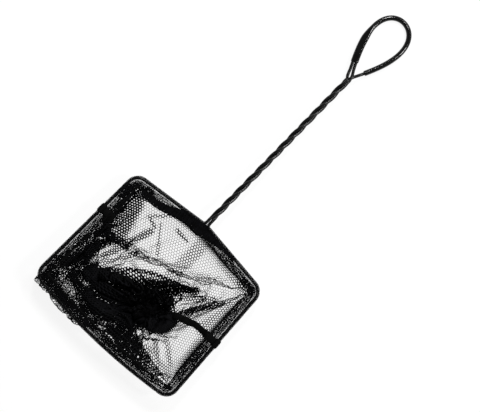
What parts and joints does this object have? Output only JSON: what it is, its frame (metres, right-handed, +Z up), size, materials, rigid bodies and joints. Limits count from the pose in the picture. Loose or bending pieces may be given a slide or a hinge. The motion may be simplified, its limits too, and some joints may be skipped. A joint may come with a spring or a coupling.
{
  "type": "aquarium fish net",
  "caption": "Hand net for an aquarium: netting bag on a rounded wire hoop, twisted wire handle and a sleeved hanging loop, lying on a table.",
  "frame": {"origin": "on the table under the middle of the hoop, on the flat underside of the bag", "axes": "+Y from the bag along the handle to the hanging loop, +Z up out of the bag's mouth, +X to the right of the handle seen from above"},
  "size_m": [0.157, 0.3794, 0.0239],
  "materials": {
    "steel_wire": "drawn galvanised spring wire, seen only at the cut ends",
    "wire_coating": "black plastic coating, semi-gloss",
    "vinyl_sleeve": "black soft vinyl tube, glossy",
    "netting": "black knotless nylon netting, 2 mm hexagonal mesh",
    "hem_netting": "black nylon netting, doubled and gathered",
    "seam_tape": "black overlocked seam",
    "sewing_thread": "black polyester thread"
  },
  "bodies": {
    "root": {"hoop_wire": "steel_wire", "hoop_coating": "wire_coating", "left_strand_wire": "steel_wire", "left_strand_coating": "wire_coating", "right_strand_wire": "steel_wire", "right_strand_coating": "wire_coating", "middle_strand_wire": "steel_wire", "middle_strand_coating": "wire_coating", "loop_wire": "steel_wire", "loop_coating": "wire_coating", "tail_wire": "steel_wire", "tail_coating": "wire_coating", "loop_sleeve": "vinyl_sleeve", "front_panel": "netting", "back_panel": "netting", "front_hem": "hem_netting", "back_hem": "hem_netting", "hem_stitching": "sewing_thread", "left_seam": "seam_tape", "right_seam": "seam_tape", "left_seam_stitching": "sewing_thread", "right_seam_stitching": "sewing_thread", "neck_gather": "hem_netting"}
  },
  "joints": []
}
